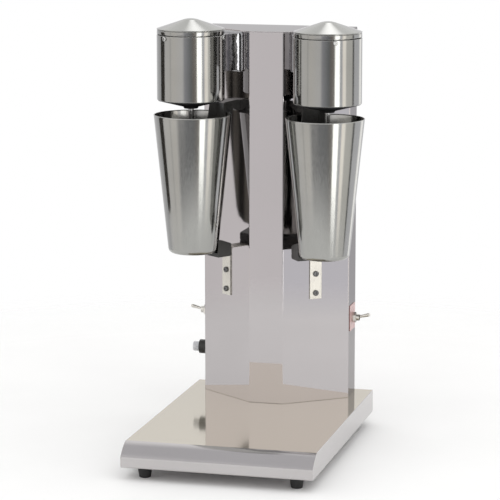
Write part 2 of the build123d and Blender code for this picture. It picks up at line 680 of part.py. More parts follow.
def rim_clip(side):
    """Moulded hook: an arm off the flank and a tongue that hangs inside the cup's rim."""
    tongue_outer = 41.0
    tongue_inner = 38.2
    tongue_back = CUP_OUT - tongue_inner
    with BuildPart() as clip:
        with BuildSketch(level_plane(side, CUP_ALONG, CUP_OUT, TONGUE_BOTTOM)):
            Circle(tongue_outer)
            Circle(tongue_inner, mode=Mode.SUBTRACT)
        extrude(amount=CLIP_ARM_TOP - TONGUE_BOTTOM)
        with BuildSketch(facing_plane(side, CLIP_ALONG, 10, 0)):
            with BuildLine():
                Polyline(
                    (-16, TONGUE_BOTTOM), (16, TONGUE_BOTTOM), (12.5, CLIP_ARM_TOP), (-12.5, CLIP_ARM_TOP),
                    close=True,
                )
            make_face()
        extrude(amount=25, mode=Mode.INTERSECT)
        with BuildSketch(profile_plane(side, CLIP_ALONG)):
            with BuildLine():
                Polyline(
                    (0.05, CLIP_ARM_BOTTOM - 3.1), (4.0, CLIP_ARM_BOTTOM - 3.1), (9.5, CLIP_ARM_BOTTOM),
                    (tongue_back, CLIP_ARM_BOTTOM), (tongue_back, CLIP_ARM_TOP),
                    (6, CLIP_ARM_TOP + 2), (0.05, CLIP_ARM_TOP + 2), close=True,
                )
            make_face()
        extrude(amount=9, both=True)
        with BuildSketch(profile_plane(side, CLIP_ALONG)):
            with BuildLine():
                Polyline(
                    (9.5, CLIP_ARM_BOTTOM + 0.2), (14.2, CLIP_ARM_BOTTOM + 0.2),
                    (13.4, CLIP_ARM_BOTTOM - 8.1), (11.4, CLIP_ARM_BOTTOM - 8.1), close=True,
                )
            make_face()
        extrude(amount=9, both=True)
        fillet(clip.edges().filter_by(Axis(flank_point(side, 0, 0), (side * ALONG_X, ALONG_Y, 0)))
               .group_by(Axis.Z)[-1], radius=1.0)
        with Locations(facing_plane(side, CLIP_ALONG, 9, CLIP_SCREW_Z)):
            Hole(radius=1.7, depth=9.5)
    return clip


def cup_rest(side):
    """Black moulded cradle that hugs the back of the cup's foot and carries its edge."""
    half_width = 26.0
    with BuildPart() as rest:
        with BuildSketch(profile_plane(side, CUP_ALONG)):
            with BuildLine():
                Polyline(
                    (REST_BACK, REST_BOTTOM), (REST_BACK + 19.5, REST_BOTTOM), (REST_BACK + 19.5, 241.5),
                    (REST_BACK + 14, 241.5), (REST_BACK, 236.5), close=True,
                )
            make_face()
        extrude(amount=half_width, both=True)
        back_edges = rest.edges().filter_by(Axis(flank_point(side, 0, 0), (side * ALONG_X, ALONG_Y, 0)))
        fillet(back_edges.sort_by(Axis((0, 0, 0), outward(side)))[0:2], radius=2.6)
        # seat for the cup: a cone that follows its wall, then the ledge under its edge
        with BuildSketch(level_plane(side, CUP_ALONG, CUP_OUT, CUP_BASE_Z - 0.3)):
            Circle(CUP_BASE_RADIUS + 0.6)
        extrude(amount=20, taper=-cup_taper, mode=Mode.SUBTRACT)
        with BuildSketch(level_plane(side, CUP_ALONG, CUP_OUT, REST_BOTTOM - 1)):
            Circle(17)
        extrude(amount=8, mode=Mode.SUBTRACT)
        # groove along the back and the ends
        with BuildSketch(profile_plane(side, CUP_ALONG)):
            with Locations((REST_BACK, 227.6)):
                Rectangle(1.6, 1.4)
        extrude(amount=half_width + 1, both=True, mode=Mode.SUBTRACT)
        # slot that the bracket's shelf goes into
        with BuildSketch(facing_plane(side, BRACKET_ALONG, REST_BACK - 1, SHELF_TOP - SHELF_THICKNESS / 2)):
            Rectangle(BRACKET_WIDTH + 0.3, SHELF_THICKNESS + 0.2)
        extrude(amount=11, mode=Mode.SUBTRACT)
    return rest


def cup_bracket(side):
    """Stainless strip: screwed to the flank, bent out at the top as a shelf."""
    bend = 4.0
    back = 0.05
    front = back + SHELF_THICKNESS
    end = REST_BACK + 9.5
    underside = SHELF_TOP - SHELF_THICKNESS
    with BuildPart() as bracket:
        with BuildSketch(profile_plane(side, BRACKET_ALONG)):
            with BuildLine():
                Polyline((back, BRACKET_FOOT), (back, SHELF_TOP - bend))
                RadiusArc((back, SHELF_TOP - bend), (back + bend, SHELF_TOP), bend)
                Polyline(
                    (back + bend, SHELF_TOP), (end, SHELF_TOP), (end, underside), (back + bend, underside),
                )
                RadiusArc((back + bend, underside), (front, SHELF_TOP - bend), -(bend - SHELF_THICKNESS))
                Polyline((front, SHELF_TOP - bend), (front, BRACKET_FOOT), (back, BRACKET_FOOT))
            make_face()
        extrude(amount=BRACKET_WIDTH / 2, both=True)
        for height in BRACKET_SCREW_HEIGHTS:
            with Locations(facing_plane(side, BRACKET_ALONG, 1.6, height)):
                Hole(radius=2.2, depth=6)
    return bracket


# ---- switches ------------------------------------------------------------------------------
SWITCH_PLATE = 0.8
PIVOT_OUT = 5.6                  # the lever's pivot, out from the side face
BUSHING_END = 9.4
LEVER_TIP = 22.6
LEVER_BALL = 2.3
LEVER_NECK = 1.3
LEVER_TIP_RADIUS = 2.3


def switch_body(side):
    """Case behind the panel and the threaded bushing through it."""
    with BuildPart() as body:
        with BuildSketch(side_plane(side, -SHEET - 0.1, SWITCH_Y, SWITCH_Z)):
            RectangleRounded(13, 28, 1)
        extrude(amount=-20)
        with BuildSketch(side_plane(side, -SHEET - 0.1, SWITCH_Y, SWITCH_Z)):
            Circle(4.1)
        extrude(amount=BUSHING_END + SHEET + 0.1)
        with BuildSketch(side_plane(side, BUSHING_END, SWITCH_Y, SWITCH_Z)):
            Circle(3.3)
        extrude(amount=-BUSHING_END + 1, mode=Mode.SUBTRACT)
        for z in (-9, 0, 9):
            with BuildSketch(side_plane(side, -SHEET - 20.1, SWITCH_Y, SWITCH_Z + z)):
                Rectangle(5, 0.8)
            extrude(amount=-7)
    return body


def switch_lever(side):
    """Bat lever: a ball in the bushing, a thin neck and a rounded, thicker end."""
    pivot = Vector(side * (SIDE_HALF + PIVOT_OUT), SWITCH_Y, SWITCH_Z)
    rise = radians(LEVER_REST_ANGLE)
    direction = Vector(side * cos(rise), 0, sin(rise))
    length = (LEVER_TIP - PIVOT_OUT) / cos(rise)
    pivot_plane = Plane(origin=pivot, x_dir=(0, 1, 0), z_dir=direction)
    tip_plane = pivot_plane.offset(length - LEVER_TIP_RADIUS)
    with BuildPart() as lever:
        with BuildSketch(pivot_plane):
            Circle(LEVER_NECK)
        with BuildSketch(tip_plane):
            Circle(LEVER_TIP_RADIUS)
        loft()
        with Locations(pivot_plane):
            Sphere(LEVER_BALL)
        with Locations(tip_plane):
            Sphere(LEVER_TIP_RADIUS)
    return lever


def switch_plate(side):
    """Small blank legend plate under the switch's nut."""
    with BuildPart() as plate:
        with BuildSketch(side_plane(side, 0.05, SWITCH_Y, SWITCH_Z + 0.6)):
            RectangleRounded(28, 31, 2)
            with Locations((0, -0.6)):
                Circle(4.3, mode=Mode.SUBTRACT)
        extrude(amount=SWITCH_PLATE)
    return plate


SIDE_PIECES = {
    "motor_housing": motor_housing,
    "motor_lid": motor_lid,
    "motor_end_plate": motor_end_plate,
    "neck": neck,
    "stator_core": stator_core,
    "field_coils": field_coils,
    "bearing_bracket": bearing_bracket,
    "spindle_shaft": spindle_shaft,
    "armature_core": armature_core,
    "commutator": commutator,
    "cooling_fan": cooling_fan,
    "agitator": agitator,
    "mixing_cup": mixing_cup,
    "rim_clip": rim_clip,
    "cup_rest": cup_rest,
    "cup_bracket": cup_bracket,
    "switch_body": switch_body,
    "switch_lever": switch_lever,
    "switch_plate": switch_plate,
}
for label, side in SIDES.items():
    for name, make in SIDE_PIECES.items():
        save(make(side), f"{label}_{name}")

# ---- small parts that come in matching sets --------------------------------------------------
with BuildPart() as lid_screws:
    for side in SIDES.values():
        for plane in lid_screw_planes(side):
            add(screw(plane.offset(0.05), 2.7, 1.7, 1.4, 4))
save(lid_screws, "lid_screws")

with BuildPart() as neck_bolts:
    for side in SIDES.values():
        for across in (-NECK_BOLT_ACROSS, NECK_BOLT_ACROSS):
            for rise in (-NECK_BOLT_RISE, NECK_BOLT_RISE):
                inside = facing_plane(side, HEAD_ALONG + across, -SHEET - 0.05, NECK_MIDDLE + rise)
                with BuildSketch(Plane(origin=inside.origin, x_dir=inside.x_dir, z_dir=-inside.z_dir)):
                    RegularPolygon(radius=4.4, side_count=6)
                extrude(amount=3)
                with BuildSketch(inside):
                    Circle(2.4)
                extrude(amount=SHEET + NECK_FLANGE - 0.6)
save(neck_bolts, "neck_bolts")

with BuildPart() as bracket_screws:
    for side in SIDES.values():
        for height in BRACKET_SCREW_HEIGHTS:
            add(screw(facing_plane(side, BRACKET_ALONG, 1.65, height), 3.5, 2.0, 2.0, 9))
        outside = facing_plane(side, CLIP_ALONG, -SHEET - 0.05, CLIP_SCREW_Z)
        inside = Plane(origin=outside.origin, x_dir=outside.x_dir, z_dir=-outside.z_dir)
        add(screw(inside, 3.5, 2.0, 1.6, 8))
save(bracket_screws, "bracket_screws")

with BuildPart() as brush_holders:
    for side in SIDES.values():
        add(brush_block(side, 9, 9, 11.5, 18))
        add(brush_block(side, 5.4, 5.4, 11.0, 20), mode=Mode.SUBTRACT)
save(brush_holders, "brush_holders")

with BuildPart() as carbon_brushes:
    for side in SIDES.values():
        add(brush_block(side, 5.0, 5.0, 9.4, 14))
save(carbon_brushes, "carbon_brushes")

with BuildPart() as motor_bearings:
    for side in SIDES.values():
        for height in (HEAD_BOTTOM - 3.9, UPPER_BRACKET_Z + 1):
            plane = level_plane(side, HEAD_ALONG, HEAD_OUT, height)
            add(head_ring(plane, BEARING_RADIUS, SHAFT_RADIUS + 0.05, BEARING_HEIGHT))
save(motor_bearings, "motor_bearings")

with BuildPart() as switch_nuts:
    for side in SIDES.values():
        with BuildSketch(side_plane(side, 0.05 + SWITCH_PLATE + 0.05, SWITCH_Y, SWITCH_Z)):
            RegularPolygon(radius=6.4, side_count=6, rotation=30)
            Circle(4.15, mode=Mode.SUBTRACT)
        extrude(amount=4.6)
save(switch_nuts, "switch_nuts")

# ---- fuse holder -------------------------------------------------------------------------------
with BuildPart() as fuse_holder:
    with BuildSketch(side_plane(-1, 0.05, SWITCH_Y, FUSE_Z)):
        Circle(9.4)
    extrude(amount=4.0)
    fillet(fuse_holder.edges().sort_by(Axis.X)[0], radius=1.0)
    with BuildSketch(side_plane(-1, 4.05, SWITCH_Y, FUSE_Z)):
        Circle(8.6)
    extrude(amount=7.2)
    with BuildSketch(side_plane(-1, 0.05, SWITCH_Y, FUSE_Z)):
        Circle(6.2)
    extrude(amount=-34)
    with BuildSketch(side_plane(-1, 11.3, SWITCH_Y, FUSE_Z)):
        Circle(5.0)
    extrude(amount=-40, mode=Mode.SUBTRACT)
save(fuse_holder, "fuse_holder")

with BuildPart() as fuse_cap:
    with BuildSketch(side_plane(-1, 11.6, SWITCH_Y, FUSE_Z)):
        Circle(5.9)
    extrude(amount=8.0)
    fillet(fuse_cap.edges().sort_by(Axis.X)[0], radius=1.4)
    with BuildSketch(side_plane(-1, 19.6, SWITCH_Y, FUSE_Z)):
        Rectangle(8.0, 1.4)
    extrude(amount=-1.4, mode=Mode.SUBTRACT)
    with BuildSketch(side_plane(-1, 11.7, SWITCH_Y, FUSE_Z)):
        Circle(4.5)
    extrude(amount=-8.0)
save(fuse_cap, "fuse_cap")

with BuildPart() as glass_fuse:
    with BuildSketch(side_plane(-1, 3.4, SWITCH_Y, FUSE_Z)):
        Circle(2.6)
    extrude(amount=-20)
save(glass_fuse, "glass_fuse")
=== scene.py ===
from math import atan2, cos, hypot, pi, radians, sin

import bmesh
import bpy
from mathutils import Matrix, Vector


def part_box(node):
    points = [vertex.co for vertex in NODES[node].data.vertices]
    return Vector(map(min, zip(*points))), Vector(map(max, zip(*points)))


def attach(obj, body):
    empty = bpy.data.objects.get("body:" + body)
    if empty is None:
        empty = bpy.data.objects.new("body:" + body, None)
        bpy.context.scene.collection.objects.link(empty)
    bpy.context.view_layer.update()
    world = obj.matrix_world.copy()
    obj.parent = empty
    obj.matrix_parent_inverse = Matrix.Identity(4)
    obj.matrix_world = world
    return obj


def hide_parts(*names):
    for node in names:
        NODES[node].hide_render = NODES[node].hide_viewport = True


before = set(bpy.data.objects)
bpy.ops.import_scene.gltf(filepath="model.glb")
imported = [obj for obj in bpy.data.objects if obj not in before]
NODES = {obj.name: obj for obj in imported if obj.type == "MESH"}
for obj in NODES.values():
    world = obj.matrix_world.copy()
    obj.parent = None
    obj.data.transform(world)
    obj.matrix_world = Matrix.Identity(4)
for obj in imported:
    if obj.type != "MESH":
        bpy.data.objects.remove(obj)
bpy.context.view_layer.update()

# Looks of the two-head drink mixer: metres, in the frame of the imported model.
MM = 0.001
SIDES = ("left", "right")
STUDIO_AZIMUTH = radians(14.56)          # direction the studio faces, from straight ahead


# ---- node helpers ------------------------------------------------------------------------
class Tree:
    """Short calls for building one material's or the world's node tree."""

    def __init__(self, owner):
        owner.use_nodes = True
        self.nodes = owner.node_tree.nodes
        self.links = owner.node_tree.links

    def add(self, kind, inputs=(), **settings):
        node = self.nodes.new(kind)
        for key, value in settings.items():
            setattr(node, key, value)
        for key, value in dict(inputs).items():
            if isinstance(value, bpy.types.NodeSocket):
                self.links.new(value, node.inputs[key])
            else:
                node.inputs[key].default_value = value
        return node

    def math(self, operation, first, second=0.0, clamp=False):
        node = self.add("ShaderNodeMath", {0: first, 1: second}, operation=operation, use_clamp=clamp)
        return node.outputs[0]

    def place(self):
        """Object coordinates, which are the frame's own metres for every piece."""
        return self.add("ShaderNodeTexCoord").outputs["Object"]

    def noise(self, scale, stretch=(1, 1, 1), detail=3.0, place=None):
        mapped = self.add("ShaderNodeMapping", {"Vector": place or self.place(), "Scale": stretch})
        inputs = {"Vector": mapped.outputs[0], "Scale": scale, "Detail": detail}
        return self.add("ShaderNodeTexNoise", inputs).outputs["Fac"]

    def ranged(self, value, to_low, to_high, from_low=0.3, from_high=0.7):
        inputs = {
            "Value": value, "From Min": from_low, "From Max": from_high, "To Min": to_low, "To Max": to_high,
        }
        return self.add("ShaderNodeMapRange", inputs).outputs[0]

    def blend(self, factor, first, second):
        node = self.add("ShaderNodeMix", {"Factor": factor}, data_type="RGBA")
        colours = [socket for socket in node.inputs if socket.type == "RGBA"]
        for socket, colour in zip(colours, (first, second)):
            if isinstance(colour, bpy.types.NodeSocket):
                self.links.new(colour, socket)
            else:
                socket.default_value = (*colour, 1)
        return [socket for socket in node.outputs if socket.type == "RGBA"][0]

    def bump(self, height, strength, distance, normal=None):
        inputs = {"Height": height, "Strength": strength, "Distance": distance}
        if normal:
            inputs["Normal"] = normal
        return self.add("ShaderNodeBump", inputs).outputs[0]


WEAR_FROM = (0.86, 0.985)                # rounded against flat normal: rubbed below, untouched above
WEAR_SCALE = 420                         # size of the rubbed patches, as a noise scale
LEVEL_FROM = (0.94, 0.995)               # rise of the normal, from sloping faces to level ones, over which the painted top reflection fades in


def finish_material(
    name, dark, light, metallic, roughness, grain, stretch=(1, 1, 1), bump=0.1, depth=0.00002,
    wear=None, edge=0.0006, clouds=14, coat=0.0, edge_tint=1.0, above=None,
):
    """A finish with clouded colour, grained roughness and bump, and edges worn by handling.

    Level faces that look up can take a painted reflection, above: a colour that stands in for what they
    reflect, not the finish's own colour.
    """
    material = bpy.data.materials.new(name)
    tree = Tree(material)
    shader = tree.nodes["Principled BSDF"]
    clouded = tree.ranged(tree.noise(clouds, detail=4.0), 0, 1)
    colour = tree.blend(clouded, dark, light)
    fine = tree.noise(grain, stretch, 5.0)
    rough = tree.ranged(fine, roughness[0], roughness[1])
    rounded = tree.add("ShaderNodeBevel", {"Radius": edge}, samples=4).outputs[0]
    if wear:
        flat = tree.add("ShaderNodeNewGeometry").outputs["Normal"]
        facing = tree.add("ShaderNodeVectorMath", {0: rounded, 1: flat}, operation="DOT_PRODUCT")
        rubbed = tree.ranged(facing.outputs["Value"], 1, 0, *WEAR_FROM)
        patchy = tree.math("MULTIPLY", rubbed, tree.ranged(tree.noise(WEAR_SCALE), 0.1, 1), clamp=True)
        colour = tree.blend(patchy, colour, wear)
    # painted reflection: faces that look up take the colour above, standing in for the warm reflection seen
    # on them
    if above:
        normal = tree.add("ShaderNodeNewGeometry").outputs["Normal"]
        rise = tree.add("ShaderNodeVectorMath", {0: normal, 1: (0, 0, 1)}, operation="DOT_PRODUCT")
        level = tree.ranged(rise.outputs["Value"], 0, 1, *LEVEL_FROM)
        colour = tree.blend(level, colour, above)
    tree.links.new(colour, shader.inputs["Base Color"])
    tree.links.new(rough, shader.inputs["Roughness"])
    tree.links.new(tree.bump(fine, bump, depth, rounded), shader.inputs["Normal"])
    shader.inputs["Metallic"].default_value = metallic
    shader.inputs["Coat Weight"].default_value = coat
    shader.inputs["Specular Tint"].default_value = (edge_tint, edge_tint, edge_tint, 1)
    return material


# ---- finishes ----------------------------------------------------------------------------
UPRIGHT = (1, 1, 0.02)                   # grain drawn out along Z
LEVEL_X = (0.02, 1, 1)                   # grain drawn out along X

FINISHES = {
    "sheet_steel": dict(
        dark=(0.485, 0.462, 0.466), light=(0.515, 0.49, 0.495), metallic=1, roughness=(0.025, 0.05),
        grain=900, stretch=UPRIGHT, bump=0.05, depth=0.000008, clouds=5, edge=0.0012, edge_tint=0.6,
    ),
    # the base's above colour is a painted reflection: cream on the pan's top faces, standing in for the warm
    # reflection they show
    "base_steel": dict(
        dark=(0.51, 0.492, 0.492), light=(0.54, 0.52, 0.52), metallic=0.8, roughness=(0.06, 0.1), grain=900,
        stretch=LEVEL_X, bump=0.05, depth=0.000008, clouds=5, above=(0.58, 0.535, 0.44),
    ),
    "strip_steel": dict(
        dark=(0.60, 0.58, 0.53), light=(0.68, 0.66, 0.60), metallic=1, roughness=(0.24, 0.34), grain=1200,
        stretch=UPRIGHT, bump=0.08, depth=0.00001, clouds=60,
    ),
    "head_steel": dict(
        dark=(0.335, 0.335, 0.322), light=(0.38, 0.38, 0.366), metallic=1, roughness=(0.07, 0.16), grain=1500,
        stretch=UPRIGHT, bump=0.10, depth=0.00001, clouds=16,
    ),
    "cup_steel": dict(
        dark=(0.35, 0.35, 0.336), light=(0.395, 0.395, 0.378), metallic=1, roughness=(0.08, 0.17), grain=1500,
        stretch=UPRIGHT, bump=0.10, depth=0.00001, clouds=16,
    ),
    "neck_chrome": dict(
        dark=(0.30, 0.30, 0.31), light=(0.42, 0.42, 0.43), metallic=1, roughness=(0.04, 0.10), grain=70,
        bump=0.6, depth=0.0012, clouds=40,
    ),
    "dark_casting": dict(
        dark=(0.012, 0.012, 0.013), light=(0.03, 0.03, 0.032), metallic=0, roughness=(0.35, 0.55), grain=900,
        bump=0.25, depth=0.00008, wear=(0.12, 0.12, 0.12),
    ),
    "black_moulding": dict(
        dark=(0.010, 0.010, 0.009), light=(0.022, 0.021, 0.019), metallic=0, roughness=(0.22, 0.4),
        grain=1200, bump=0.18, depth=0.00006, wear=(0.07, 0.07, 0.065),
    ),
    "foot_rubber": dict(
        dark=(0.008, 0.008, 0.008), light=(0.018, 0.018, 0.018), metallic=0, roughness=(0.55, 0.75),
        grain=1400, bump=0.4, depth=0.0001, wear=(0.045, 0.045, 0.045),
    ),
    "screw_steel": dict(
        dark=(0.38, 0.38, 0.37), light=(0.55, 0.55, 0.54), metallic=1, roughness=(0.15, 0.3), grain=2500,
        bump=0.2, depth=0.00003, edge=0.0002, clouds=300, wear=(0.7, 0.7, 0.7),
    ),
    "recess_screw": dict(
        dark=(0.10, 0.10, 0.10), light=(0.20, 0.20, 0.20), metallic=1, roughness=(0.2, 0.35), grain=2500,
        bump=0.2, depth=0.00003, edge=0.0002, clouds=300, wear=(0.5, 0.5, 0.5),
    ),
    "shaft_steel": dict(
        dark=(0.40, 0.40, 0.40), light=(0.50, 0.50, 0.50), metallic=1, roughness=(0.10, 0.2), grain=1500,
        stretch=(0.05, 0.05, 1), bump=0.1, depth=0.00001, clouds=60,
    ),
    "lamination_steel": dict(
        dark=(0.16, 0.16, 0.17), light=(0.3, 0.3, 0.32), metallic=1, roughness=(0.35, 0.6), grain=2400,
        stretch=(0.03, 0.03, 1), bump=0.6, depth=0.0001, clouds=90,
    ),
    "copper_winding": dict(
        dark=(0.36, 0.13, 0.05), light=(0.62, 0.27, 0.12), metallic=1, roughness=(0.2, 0.4), grain=1800,
        stretch=(0.1, 0.1, 1), bump=0.7, depth=0.0003, clouds=120,
    ),
    "commutator_copper": dict(
        dark=(0.5, 0.24, 0.12), light=(0.72, 0.4, 0.24), metallic=1, roughness=(0.25, 0.4), grain=2000,
        stretch=(0.05, 0.05, 1), bump=0.2, depth=0.00003, clouds=100,
    ),
    "carbon": dict(
        dark=(0.02, 0.02, 0.02), light=(0.06, 0.06, 0.06), metallic=0, roughness=(0.6, 0.85), grain=3000,
        bump=0.5, depth=0.00008, wear=(0.1, 0.1, 0.1),
    ),
    "brass_holder": dict(
        dark=(0.55, 0.38, 0.14), light=(0.75, 0.56, 0.26), metallic=1, roughness=(0.2, 0.35), grain=1600,
        stretch=LEVEL_X, bump=0.15, depth=0.00003, clouds=90,
    ),
    "agitator_steel": dict(
        dark=(0.48, 0.48, 0.48), light=(0.6, 0.6, 0.6), metallic=1, roughness=(0.08, 0.18), grain=900,
        bump=0.1, depth=0.00002, edge=0.0003, clouds=120,
    ),
    "fan_plastic": dict(
        dark=(0.62, 0.6, 0.53), light=(0.74, 0.72, 0.66), metallic=0, roughness=(0.4, 0.6), grain=900,
        bump=0.2, depth=0.00005, clouds=60, wear=(0.8, 0.78, 0.74),
    ),
    "cast_bracket": dict(
        dark=(0.42, 0.42, 0.43), light=(0.56, 0.56, 0.57), metallic=1, roughness=(0.4, 0.6), grain=1400,
        bump=0.6, depth=0.0001, clouds=80, wear=(0.75, 0.75, 0.76),
    ),
    "legend_plate": dict(
        dark=(0.40, 0.20, 0.19), light=(0.52, 0.32, 0.30), metallic=0, roughness=(0.25, 0.4), grain=1200,
        bump=0.15, depth=0.00004, wear=(0.62, 0.58, 0.57), edge=0.0003, clouds=160, coat=0.4,
    ),
    "switch_metal": dict(
        dark=(0.56, 0.54, 0.5), light=(0.7, 0.68, 0.64), metallic=1, roughness=(0.12, 0.25), grain=1800,
        bump=0.15, depth=0.00003, edge=0.0003, clouds=200, wear=(0.8, 0.77, 0.7),
    ),
    "cap_plastic": dict(
        dark=(0.46, 0.47, 0.49), light=(0.60, 0.61, 0.63), metallic=0, roughness=(0.1, 0.2), grain=900,
        bump=0.1, depth=0.00003, edge=0.0004, clouds=180, coat=0.6, wear=(0.6, 0.61, 0.62),
    ),
    "fuse_glass": dict(
        dark=(0.7, 0.74, 0.74), light=(0.85, 0.88, 0.88), metallic=0, roughness=(0.05, 0.12), grain=900,
        bump=0.05, depth=0.00002, clouds=200, coat=0.5,
    ),
    "block_plastic": dict(
        dark=(0.66, 0.64, 0.58), light=(0.78, 0.76, 0.7), metallic=0, roughness=(0.4, 0.6), grain=1100,
        bump=0.2, depth=0.00006, wear=(0.85, 0.84, 0.8),
    ),
}
MATERIALS = {slot: finish_material(slot, **finish) for slot, finish in FINISHES.items()}


def slot_of(node):
    return NODES[node].data.materials[0].name.split(".")[0]


NODE_SLOTS = {name: slot_of(name) for name in NODES}
OWN_FINISH = {
    "base_pan": "base_steel",
    "left_cup_bracket": "strip_steel",
    "right_cup_bracket": "strip_steel",
    "bracket_screws": "recess_screw",
}
for name, node in NODES.items():
    for index in range(len(node.material_slots)):
        node.material_slots[index].material = MATERIALS[OWN_FINISH.get(name, NODE_SLOTS[name])]


# ---- turned pieces -----------------------------------------------------------------------
ON_AXIS = 1e-7                           # a radius below this is a single point on the axis


def arc(centre, radius, start, end, steps):
    """Points on an arc, angles in degrees from the outward direction."""
    points = []
    for step in range(steps + 1):
        angle = radians(start + (end - start) * step / steps)
        points.append((centre[0] + radius * cos(angle), centre[1] + radius * sin(angle)))
    return points


def straight(start, end, margin=0.15 * MM):
    """Points on a line, with one close to each end so that the shading stays flat between."""
    length = hypot(end[0] - start[0], end[1] - start[1])
    near = margin / length
    places = [0, near, 2 * near, 0.25, 0.5, 0.75, 1 - 2 * near, 1 - near, 1]
    return [(start[0] + (end[0] - start[0]) * t, start[1] + (end[1] - start[1]) * t) for t in places]


def lathe(name, centre, profile, body, slot, replaced, segments=224, crease=28):
    """Closed profile of (radius, height) turned round an upright axis at centre (x, y)."""
    mesh = bpy.data.meshes.new(name)
    work = bmesh.new()
    rings = []
    profile = [point for point, before in zip(profile, [None] + profile) if point != before]
    for radius, height in profile:
        if radius < ON_AXIS:
            rings.append([work.verts.new((centre[0], centre[1], height))])
            continue
        ring = []
        for step in range(segments):
            turn = 2 * pi * step / segments
            place = (centre[0] + radius * cos(turn), centre[1] + radius * sin(turn), height)
            ring.append(work.verts.new(place))
        rings.append(ring)
    closed = len(rings[0]) > 1
    pairs = list(zip(rings, rings[1:]))
    if closed:
        pairs.append((rings[-1], rings[0]))
    for low, high in pairs:
        for step in range(segments):
            after = (step + 1) % segments
            corners = [low[step % len(low)], low[after % len(low)]]
            corners += [high[after % len(high)], high[step % len(high)]]
            corners = list(dict.fromkeys(corners))
            if len(corners) > 2:
                work.faces.new(corners)
    bmesh.ops.recalc_face_normals(work, faces=work.faces)
    work.to_mesh(mesh)
    work.free()
    mesh.shade_smooth()
    mesh.set_sharp_from_angle(angle=radians(crease))
    piece = bpy.data.objects.new(name, mesh)
    bpy.context.scene.collection.objects.link(piece)
    mesh.materials.append(MATERIALS[slot])
    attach(piece, body)
    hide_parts(*replaced)
    return piece


def axis_of(node):
    """A turned node's centre (x, y), lowest and highest z, and largest radius."""
    low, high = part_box(node)
    middle = (low + high) / 2
    return (middle.x, middle.y), low.z, high.z, (high.x - low.x) / 2


CUP_WALL = 0.8 * MM
CUP_BEAD = 0.6 * MM
CUP_CORNER = 6.0 * MM
CUP_FOOT_RADIUS = 28.8 * MM
CUP_DISH_RISE = 0.9 * MM                 # the foot's middle stands this much off the rest
CUP_DISH_RADIUS = 17.5 * MM
CUP_DISH_BEND = 0.7 * MM                 # radius of the bend at the dish's edge
CUP_BEND_HEIGHT = 0.2 * MM               # that bend's centre above the foot
CUP_RING_RADIUS = 19.4 * MM              # inner edge of the ring that the cup stands on


def mixing_cup(side):
    """Spun tumbler with a dished foot and a rolled rim."""
    centre, foot, top, reach = axis_of(f"{side}_mixing_cup")
    rim = reach - CUP_BEAD
    lean = atan2(rim - CUP_FOOT_RADIUS, top - CUP_BEAD - foot)
    tangent = CUP_CORNER * (1 - sin(lean)) / cos(lean)
    corner = (CUP_FOOT_RADIUS - tangent, foot + CUP_CORNER)
    tilt = -lean * 180 / pi
    profile = [(0, foot + CUP_DISH_RISE), (CUP_DISH_RADIUS, foot + CUP_DISH_RISE)]
    profile += arc((CUP_DISH_RADIUS, foot + CUP_BEND_HEIGHT), CUP_DISH_BEND, 90, 30, 4)
    profile += [(CUP_RING_RADIUS, foot)]
    outer_corner = arc(corner, CUP_CORNER, -90, tilt, 12)
    inner_corner = arc(corner, CUP_CORNER - CUP_WALL, tilt, -90, 12)
    bead = arc((rim - CUP_WALL / 2, top - CUP_BEAD), CUP_BEAD, -45, 225, 18)
    profile += outer_corner + straight(outer_corner[-1], bead[0]) + bead
    profile += straight(bead[-1], inner_corner[0]) + inner_corner
    profile += [(0, foot + CUP_WALL + CUP_DISH_RISE)]
    return lathe(f"{side}_cup_shell", centre, profile, f"{side}_cup", "cup_steel", [f"{side}_mixing_cup"])


HOUSING_WALL = 1.0 * MM
HOUSING_TURN = 0.8 * MM                  # radius of the bottom edge
HOUSING_LIP = 0.3 * MM                   # radius of the top edge


def motor_housing(side):
    """Drawn sleeve with a rounded bottom edge."""
    centre, low, high, radius = axis_of(f"{side}_motor_housing")
    foot = arc((radius - HOUSING_TURN, low + HOUSING_TURN), HOUSING_TURN, -90, 0, 8)
    lip = arc((radius - HOUSING_LIP, high - HOUSING_LIP), HOUSING_LIP, 0, 90, 4)
    profile = foot + straight(foot[-1], lip[0]) + lip
    profile += [(radius - HOUSING_WALL, high), (radius - HOUSING_WALL, low)]
    return lathe(f"{side}_motor_sleeve", centre, profile, "root", "head_steel", [f"{side}_motor_housing"])


LID_SPIGOT = 6.5 * MM                    # the spigot inside the housing, below the band
LID_SHOULDER = (1.4 * MM, 5.8 * MM)      # the cone's start: in from the edge, up from the band's foot
LID_CROWN = (10.5 * MM, 1.2 * MM)        # where the cone rounds over: radius, down from the top
CROWN_STEPS = 12                         # stretches in the rounded crown's outline
LID_LIP_HEIGHT = 5.6 * MM                # the lip's centre above the band's foot
LID_LIP = 0.5 * MM
GROOVE_FOOT = 0.9 * MM                   # in from the edge, to the foot of the groove under the lip
GROOVE_TOP = 0.7 * MM                    # the groove's top and bottom, below the lip's centre
GROOVE_BOTTOM = 1.1 * MM
BAND_EDGE = (0.25 * MM, 1.5 * MM)        # the band's top edge: in from the lid's edge, below the lip's centre
BAND_TURN = (0.45 * MM, 0.3 * MM)        # the band's bottom bend: its centre in from the edge, its radius
SPIGOT_INSET = 4.0 * MM
SPIGOT_WALL = 1.0 * MM
LID_INSIDE = (10 * MM, 2.8 * MM, 1.5 * MM)       # inner crown: radius, its drop there, its drop on the axis
INSIDE_SHOULDER = 4.2 * MM               # the inner cone's start above the band's foot


